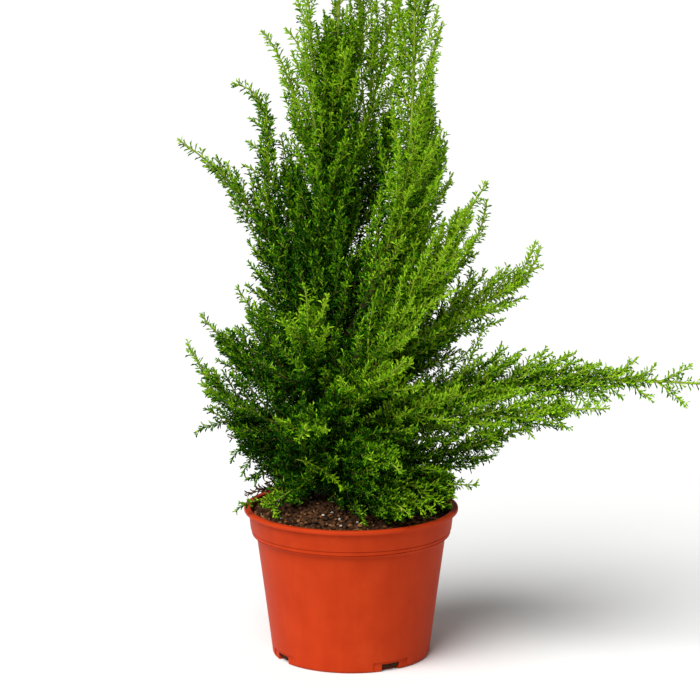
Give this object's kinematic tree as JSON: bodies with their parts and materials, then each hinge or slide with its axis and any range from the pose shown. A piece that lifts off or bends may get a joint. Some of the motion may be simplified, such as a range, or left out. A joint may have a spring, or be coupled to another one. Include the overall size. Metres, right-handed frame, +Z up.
{
  "type": "potted lemon cypress",
  "caption": "Young lemon cypress, a feathery upright conifer with one long side bough, growing in a round plastic nursery pot of soil.",
  "frame": {"origin": "centre of the pot's flat underside", "axes": "+Z up along the plant's height, +X to the right in the picture, -Y towards the viewer"},
  "size_m": [0.3914, 0.2159, 0.5699],
  "materials": {
    "pot_plastic": "smooth satin terracotta-orange moulded plastic",
    "potting_mix": "damp dark peat with bark chips and perlite",
    "bark": "thin flaking red-brown bark",
    "young_bark": "smooth young shoots, yellow-green turning red-brown",
    "foliage": "soft awl-shaped needles, lime at the tips and deep green inside"
  },
  "bodies": {
    "root": {"bough_back_left": "young_bark", "bough_back_middle": "young_bark", "bough_back_right": "young_bark", "bough_crown_left": "young_bark", "bough_crown_right": "young_bark", "bough_front_arch": "young_bark", "bough_front_left": "young_bark", "bough_front_middle": "young_bark", "bough_front_rise": "young_bark", "bough_left_front": "young_bark", "bough_left_hook": "young_bark", "bough_left_long": "young_bark", "bough_left_middle": "young_bark", "bough_right_leader": "young_bark", "bough_right_long": "young_bark", "bough_right_long_low": "young_bark", "bough_right_low": "young_bark", "bough_right_middle": "young_bark", "bough_top_left": "young_bark", "foliage_back_foot_left": "foliage", "foliage_back_foot_right": "foliage", "foliage_back_high": "foliage", "foliage_back_left": "foliage", "foliage_back_middle": "foliage", "foliage_back_right": "foliage", "foliage_back_upper": "foliage", "foliage_crown_back": "foliage", "foliage_crown_left": "foliage", "foliage_crown_middle": "foliage", "foliage_crown_right": "foliage", "foliage_crown_upper_left": "foliage", "foliage_front_arch": "foliage", "foliage_front_foot": "foliage", "foliage_front_left": "foliage", "foliage_front_left_foot": "foliage", "foliage_front_low": "foliage", "foliage_front_middle": "foliage", "foliage_front_right": "foliage", "foliage_front_rise": "foliage", "foliage_leader": "foliage", "foliage_left_back": "foliage", "foliage_left_foot": "foliage", "foliage_left_front": "foliage", "foliage_left_hook": "foliage", "foliage_left_long": "foliage", "foliage_left_low": "foliage", "foliage_left_middle": "foliage", "foliage_right_back": "foliage", "foliage_right_foot": "foliage", "foliage_right_inner": "foliage", "foliage_right_leader": "foliage", "foliage_right_long": "foliage", "foliage_right_long_low": "foliage", "foliage_right_low": "foliage", "foliage_right_middle": "foliage", "foliage_right_plume": "foliage", "foliage_top_left": "foliage", "pot": "pot_plastic", "soil": "potting_mix", "trunk": "bark"}
  },
  "joints": []
}
